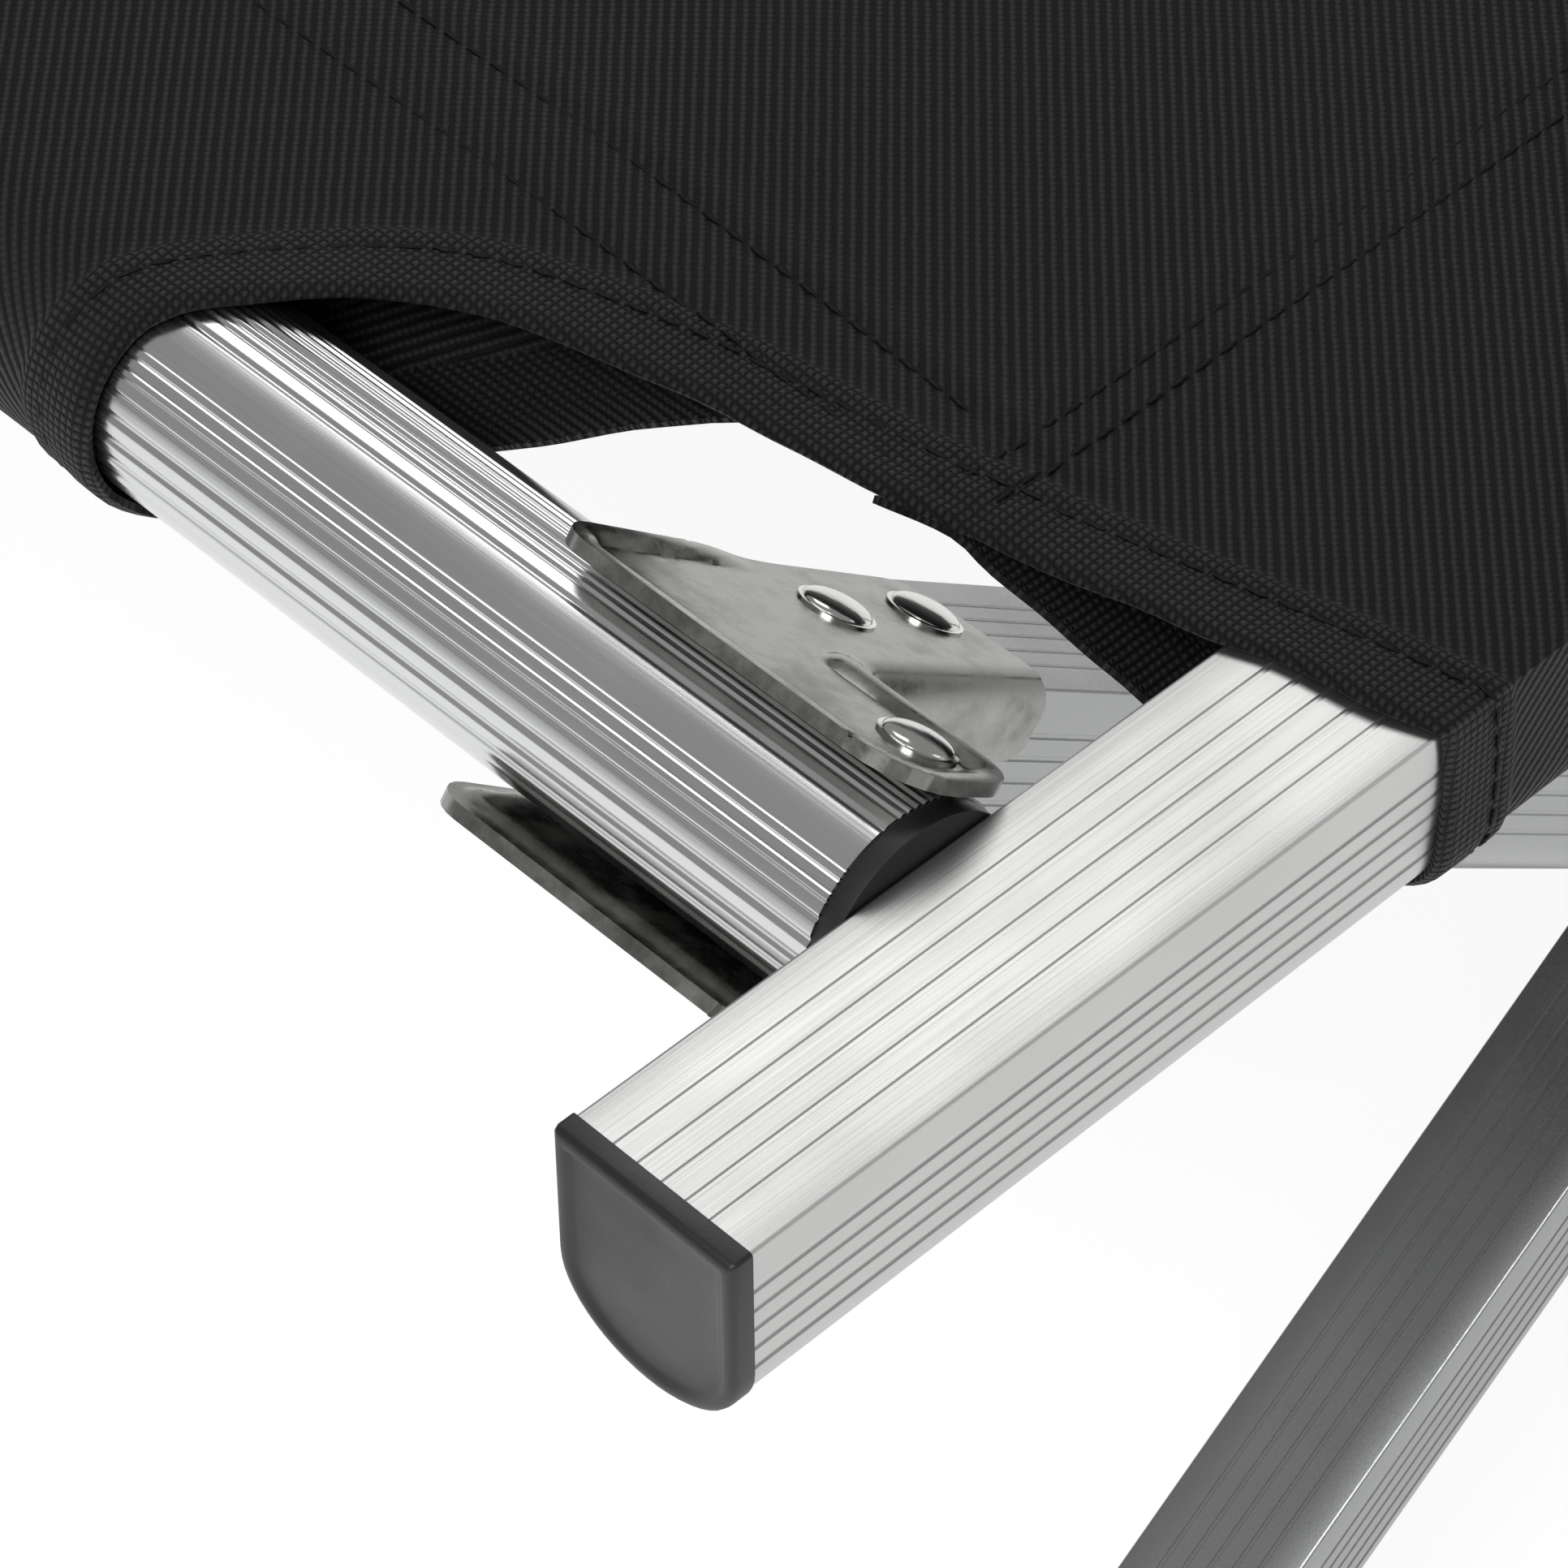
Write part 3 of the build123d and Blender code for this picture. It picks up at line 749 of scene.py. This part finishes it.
def cloth_point(p, q):
    """Place of a pattern point on the left half, before hems and puckers."""
    if q > bar_inner:
        place = cloth_point(p, 2 * bar_inner - q)
        return Vector((place.x, -place.y, place.z))
    if p < 0:
        turn = walk(side_path, side_lengths, -p)
        sink = (sleeve_radius - deck_level(q)) * smooth(-p, side_lengths[-3], side_lengths[-2])
        return Vector((-rail_x + turn.x, -bar_inner + q, rail_z + turn.y - sink))
    if q < 0:
        turn = walk(end_path, end_lengths, -q)
        return Vector((-rail_x + p, -bar_inner + turn.x, rail_z + turn.y))
    return Vector((-rail_x + p, -bar_inner + q, rail_z + deck_level(q)))


def spaced(first, last, step):
    """Evenly spaced places from first up to, but without, last."""
    count = max(1, round((last - first) / step))
    return [first + (last - first) * i / count for i in range(count)]


# Rows run along the stretcher and columns across it. Both are close together near hems and seams
window_start = bar_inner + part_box("left_side_sleeve_front")[1][1]
window_end = bar_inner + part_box("left_side_sleeve_rear")[0][1]
whole = 2 * bar_inner
fine, coarse = 2 * MM, 12 * MM
near = 160 * MM
half_rows = spaced(-end_lengths[-1], 0, fine) + spaced(0, join_along, fine) + spaced(join_along, near, fine)
rows = half_rows + spaced(near, window_start - 16 * MM, coarse)
rows += spaced(window_start - 16 * MM, window_start, fine) + spaced(window_start, window_end, 3 * MM)
rows += spaced(window_end, window_end + 16 * MM, fine) + spaced(window_end + 16 * MM, whole - near, coarse)
rows += [whole - near] + [whole - row for row in reversed(half_rows)]
inner_edge = 76 * MM
columns = spaced(join_across, inner_edge, fine) + spaced(inner_edge, rail_x, coarse) + [rail_x]
flap_columns = [join_across + (-side_lengths[-1] - join_across) * (i + 1) / 58 for i in range(58)]


def row_start(q):
    """The first point of a row: the cut edge at the corners and the window, the rail's crest between."""
    from_end = min(q, whole - q)
    if from_end < join_along:
        return cut_across(from_end)
    bump = smooth(q - window_start, 0, 14 * MM) * smooth(window_end - q, 0, 14 * MM)
    return join_across + 19 * MM * bump


def flap_row(p, q):
    """A side flap's row, drawn towards the sleeve's curved opening where it is near it."""
    from_end = min(q, whole - q)
    if from_end < near:
        edge = cut_along(p)
        from_end = edge + (from_end - join_along) / (near - join_along) * (near - edge)
    return from_end if q < bar_inner else whole - from_end


pattern, faces, first_column = [], [], {}
for i, q in enumerate(rows):
    start = row_start(q)
    for j, p in enumerate(columns):
        if p < inner_edge:
            p = start + (p - join_across) / (inner_edge - join_across) * (inner_edge - start)
        pattern.append((p, q))
    first_column[i] = i * len(columns)
for i in range(len(rows) - 1):
    for j in range(len(columns) - 1):
        a = i * len(columns) + j
        faces.append((a, a + 1, a + 1 + len(columns), a + len(columns)))
tiny = 1e-7
for low, high in ((join_along, window_start), (window_end, whole - join_along)):
    span = [i for i, q in enumerate(rows) if low - tiny <= q <= high + tiny]
    before = [first_column[i] for i in span]
    for p in flap_columns:
        line = []
        for i in span:
            line.append(len(pattern))
            pattern.append((p, flap_row(p, rows[i])))
        for k in range(len(span) - 1):
            faces.append((line[k], before[k], before[k + 1], line[k + 1]))
        before = line

# Distance of every point from the nearest cut edge, for the hems
flat = np.array(pattern)
mirror_cut = [Vector((point.x, whole - point.y)) for point in corner_cut]
window_top = [Vector((row_start(q), q)) for q in rows if window_start - tiny <= q <= window_end + tiny]
window_cut = [Vector((-side_lengths[-1], window_start))] + window_top
window_cut += [Vector((-side_lengths[-1], window_end))]
hem = np.minimum(edge_distance(flat, corner_cut), edge_distance(flat, mirror_cut))
hem = np.minimum(hem, edge_distance(flat, window_cut))


def relief(points, hem):
    """How far the sheet stands out: hems and doubled bands are thicker, and stitches pull it in."""
    p, q = points[:, 0], points[:, 1]
    q = np.minimum(q, whole - q)
    raised = 0.8 * MM * smooth(hem, 0, 1.2 * MM) * (1 - smooth(hem, hem_width - 1 * MM, hem_width + 1 * MM))
    raised -= 0.35 * MM * np.exp(-((hem - hem_seam) / (1 * MM)) ** 2)
    beside = smooth(q, 24 * MM, 28 * MM)
    within = smooth(p, 34 * MM, 37 * MM)
    raised += 0.4 * MM * beside * within * (1 - smooth(p, 53 * MM, 56 * MM))
    raised += 0.4 * MM * beside * within * (1 - smooth(q, 38 * MM, 41 * MM))
    for seam in side_seams:
        raised -= 0.55 * MM * beside * np.exp(-((p - seam) / (1.3 * MM)) ** 2)
    for seam in end_seams:
        raised -= 0.55 * MM * within * np.exp(-((q - seam) / (1.3 * MM)) ** 2)
    return raised


sheet_mesh = bpy.data.meshes.new("left_deck_half")
sheet_mesh.from_pydata([cloth_point(p, q) for p, q in pattern], [], faces)
sheet = bpy.data.objects.new("left_deck_half", sheet_mesh)
bpy.context.collection.objects.link(sheet)
face_outwards(sheet)
middle_face = min(sheet_mesh.polygons, key=lambda face: face.center.xy.length)
if middle_face.normal.z < 0:
    sheet_mesh.flip_normals()
sheet_mesh.update()
raised = relief(flat, hem)
ways = [Vector(vertex.normal) for vertex in sheet_mesh.vertices]
for vertex, way, height, (p, q), edge in zip(sheet_mesh.vertices, ways, raised, pattern, hem):
    spot = Vector((p, q, 0))
    ripple = 0.9 * MM * noise.noise(spot / (19 * MM)) * math.exp(-edge / (9 * MM))
    ripple += 0.35 * MM * noise.noise(spot / (45 * MM))
    vertex.co += way * (height + ripple)
    inward = 0.7 * MM * noise.noise(spot / (12 * MM) + Vector((7, 3, 0))) * math.exp(-edge / (5 * MM))
    vertex.co += Vector((inward, inward * 0.5, 0)) * (1 if abs(p) > 5 * MM else 0.3)

uv = sheet_mesh.uv_layers.new(name="pattern")
for loop in sheet_mesh.loops:
    p, q = pattern[loop.vertex_index]
    uv.data[loop.index].uv = (p - rail_x, q - bar_inner)
hem_attribute = sheet_mesh.attributes.new("hem", "FLOAT", "POINT")
hem_attribute.data.foreach_set("value", hem.astype(np.float32))
modify(sheet, "SOLIDIFY", thickness=cloth_thickness, offset=-1)

cloth_material, cloth_tree, cloth_shader = new_material("black_polyester_cloth", "#141415", 0.0, 0.7)
cloth_shader.inputs["Sheen Weight"].default_value = 0.04
cloth_shader.inputs["Sheen Roughness"].default_value = 0.4
cloth_shader.inputs["Specular IOR Level"].default_value = 0.22
# Twill ribs 1.4 mm apart at 45 degrees, broken into knobs by the threads that float over them
rib_pitch, knob_pitch, thread_pitch = 1.4 * MM, 0.95 * MM, 1.05 * MM
wave_period = 0.31416  # length of one band of a wave texture at scale 1
pattern_place = add_node(cloth_tree, "UVMap", uv_map="pattern")
turned_place = add_node(cloth_tree, "Mapping", {"Rotation": (0, 0, math.radians(45))},
                        {"Vector": pattern_place.outputs["UV"]})
ribs = add_node(cloth_tree, "TexWave", {"Scale": wave_period / rib_pitch, "Distortion": 0.6, "Detail": 1.0,
                                        "Detail Scale": 1.5}, {"Vector": turned_place.outputs["Vector"]},
                wave_type="BANDS", bands_direction="X")
knobs = add_node(cloth_tree, "TexWave", {"Scale": wave_period / knob_pitch},
                 {"Vector": turned_place.outputs["Vector"]}, wave_type="BANDS", bands_direction="Y")
knob_share = add_node(cloth_tree, "MapRange", {"To Min": 0.62, "To Max": 1.0},
                      {"Value": knobs.outputs["Fac"]})
twill = add_node(cloth_tree, "Math", None, {0: ribs.outputs["Fac"], 1: knob_share.outputs["Result"]},
                 operation="MULTIPLY")
# Hems show the plain side: a grid of round thread crossings about a millimetre apart
warp = add_node(cloth_tree, "TexWave", {"Scale": wave_period / thread_pitch, "Distortion": 0.4},
                {"Vector": pattern_place.outputs["UV"]}, wave_type="BANDS", bands_direction="X")
weft = add_node(cloth_tree, "TexWave", {"Scale": wave_period / thread_pitch, "Distortion": 0.4},
                {"Vector": pattern_place.outputs["UV"]}, wave_type="BANDS", bands_direction="Y")
plain = add_node(cloth_tree, "Math", None, {0: warp.outputs["Fac"], 1: weft.outputs["Fac"]},
                 operation="MULTIPLY")
plain_round = add_node(cloth_tree, "Math", {1: 0.6}, {0: plain.outputs["Value"]}, operation="POWER")
hem_place = add_node(cloth_tree, "Attribute", attribute_name="hem")
is_hem = add_node(cloth_tree, "MapRange", {"From Min": hem_width - 0.4 * MM, "From Max": hem_width + 0.4 * MM,
                                           "To Min": 1.0, "To Max": 0.0}, {"Value": hem_place.outputs["Fac"]})
weave = add_node(cloth_tree, "Mix", None, {0: is_hem.outputs["Result"], 2: twill.outputs["Value"],
                                           3: plain_round.outputs["Value"]}, data_type="FLOAT")
fibres = add_node(cloth_tree, "TexNoise", {"Scale": 4000.0, "Detail": 2.0},
                  {"Vector": pattern_place.outputs["UV"]})
fuzz = add_node(cloth_tree, "MapRange", {"To Min": -0.12, "To Max": 0.12}, {"Value": fibres.outputs["Fac"]})
height = add_node(cloth_tree, "Math", None, {0: weave.outputs[0], 1: fuzz.outputs["Result"]}, operation="ADD")
# Colour follows the weave's height: painted shade darkens the hollows between ribs and thread crossings, and
# their tops are painted lighter. The fibre noise adds a little random tone.
cloth_tone_and_painted_weave_shade = add_node(cloth_tree, "ValToRGB", None, {"Fac": height.outputs["Value"]})
cloth_tone_and_painted_weave_shade.color_ramp.elements[0].position = 0.1
cloth_tone_and_painted_weave_shade.color_ramp.elements[0].color = linear("#020202")
cloth_tone_and_painted_weave_shade.color_ramp.elements[1].position = 0.95
cloth_tone_and_painted_weave_shade.color_ramp.elements[1].color = linear("#29292A")
cloth_tree.links.new(cloth_tone_and_painted_weave_shade.outputs["Color"], cloth_shader.inputs["Base Color"])
cloth_bump = add_node(cloth_tree, "Bump", {"Strength": 1.0, "Distance": 0.45 * MM},
                      {"Height": height.outputs["Value"]})
cloth_tree.links.new(cloth_bump.outputs["Normal"], cloth_shader.inputs["Normal"])

# ---------------------------------------------------------------- Stitches
# Lockstitched seams of thick black bonded polyester, each stitch pulled into its own small dent.
thread_material, thread_tree, thread_shader = new_material("black_polyester_thread", "#060606", 0.0, 0.6)
thread_shader.inputs["Specular IOR Level"].default_value = 0.2
thread_place = add_node(thread_tree, "TexCoord")
twist = add_node(thread_tree, "TexWave", {"Scale": wave_period / (0.5 * MM)},
                 {"Vector": thread_place.outputs["Object"]}, wave_type="BANDS", bands_direction="DIAGONAL")
thread_bump = add_node(thread_tree, "Bump", {"Strength": 0.6, "Distance": 0.08 * MM},
                       {"Height": twist.outputs["Fac"]})
thread_tree.links.new(thread_bump.outputs["Normal"], thread_shader.inputs["Normal"])

bpy.ops.object.select_all(action="DESELECT")
bpy.ops.mesh.primitive_uv_sphere_add(segments=6, ring_count=4, radius=1)
stitch = bpy.context.object
stitch_points = [Vector(vertex.co) for vertex in stitch.data.vertices]
stitch_faces = [tuple(face.vertices) for face in stitch.data.polygons]
bpy.data.objects.remove(stitch)


def seam_runs():
    """Every seam line on the left half, as pattern points."""
    runs = []
    for p in side_seams:
        runs.append([Vector((p, q)) for q in spaced(42 * MM, whole - 42 * MM, 20 * MM)])
    for q in end_seams:
        runs.append([Vector((p, q)) for p in spaced(41 * MM, rail_x, 10 * MM) + [rail_x]])
        runs.append([Vector((p, whole - q)) for p in spaced(41 * MM, rail_x, 10 * MM) + [rail_x]])
    for line in (corner_cut, mirror_cut):
        inset = []
        for before, here, after in zip(line, line[1:], line[2:]):
            way = (after - before).normalized() * (1 if line is corner_cut else -1)
            inset.append(here + Vector((-way.y, way.x)) * hem_seam)
        runs.append(inset[12:])
    return runs


points, polygons = [], []
for run in seam_runs():
    lengths = path_lengths(run)
    count = int(lengths[-1] / stitch_pitch)
    for number in range(count):
        at = walk(run, lengths, (number + 0.5) * stitch_pitch)
        ahead = walk(run, lengths, (number + 0.9) * stitch_pitch)
        here, there = cloth_point(*at), cloth_point(*ahead)
        side = at + Vector((at.y - ahead.y, ahead.x - at.x))
        along_seam = (there - here).normalized()
        out = along_seam.cross(cloth_point(*side) - here).normalized()
        if out.z < 0 and at.x > 0 and 0 < at.y < whole:
            out = -out
        edge = edge_distance(np.array([at]), corner_cut)
        edge = np.minimum(edge, edge_distance(np.array([at]), mirror_cut))
        lift = relief(np.array([at]), edge)[0] + 0.12 * MM
        turn = Matrix((along_seam, out.cross(along_seam), out)).transposed()
        base = len(points)
        for point in stitch_points:
            size = Vector((point.x * stitch_pitch * 0.43, point.y * 0.38 * MM, point.z * 0.3 * MM))
            points.append(here + out * lift + turn @ size)
        polygons += [tuple(base + i for i in face) for face in stitch_faces]
stitch_mesh = bpy.data.meshes.new("left_deck_stitches")
stitch_mesh.from_pydata(points, [], polygons)
stitches = bpy.data.objects.new("left_deck_stitches", stitch_mesh)
bpy.context.collection.objects.link(stitches)

# The right half is the left one turned half round. Its pattern is turned back, so the twill runs straight on
right_sheet = copy_as(sheet, "right_deck_half", half_turn)
for loop in right_sheet.data.uv_layers["pattern"].data:
    loop.uv = -loop.uv
right_stitches = copy_as(stitches, "right_deck_stitches", half_turn)

for side, piece, threads, way in (("left", sheet, stitches, -1), ("right", right_sheet, right_stitches, 1)):
    for part, material in ((piece, cloth_material), (threads, thread_material)):
        select_only(part)
        bpy.ops.object.shade_smooth_by_angle(angle=math.radians(60))
        part.data.materials.append(material)
        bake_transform(part)
    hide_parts(side + "_side_sleeve_front", side + "_side_sleeve_rear")
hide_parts("deck_cloth", "front_end_sleeve", "rear_end_sleeve")
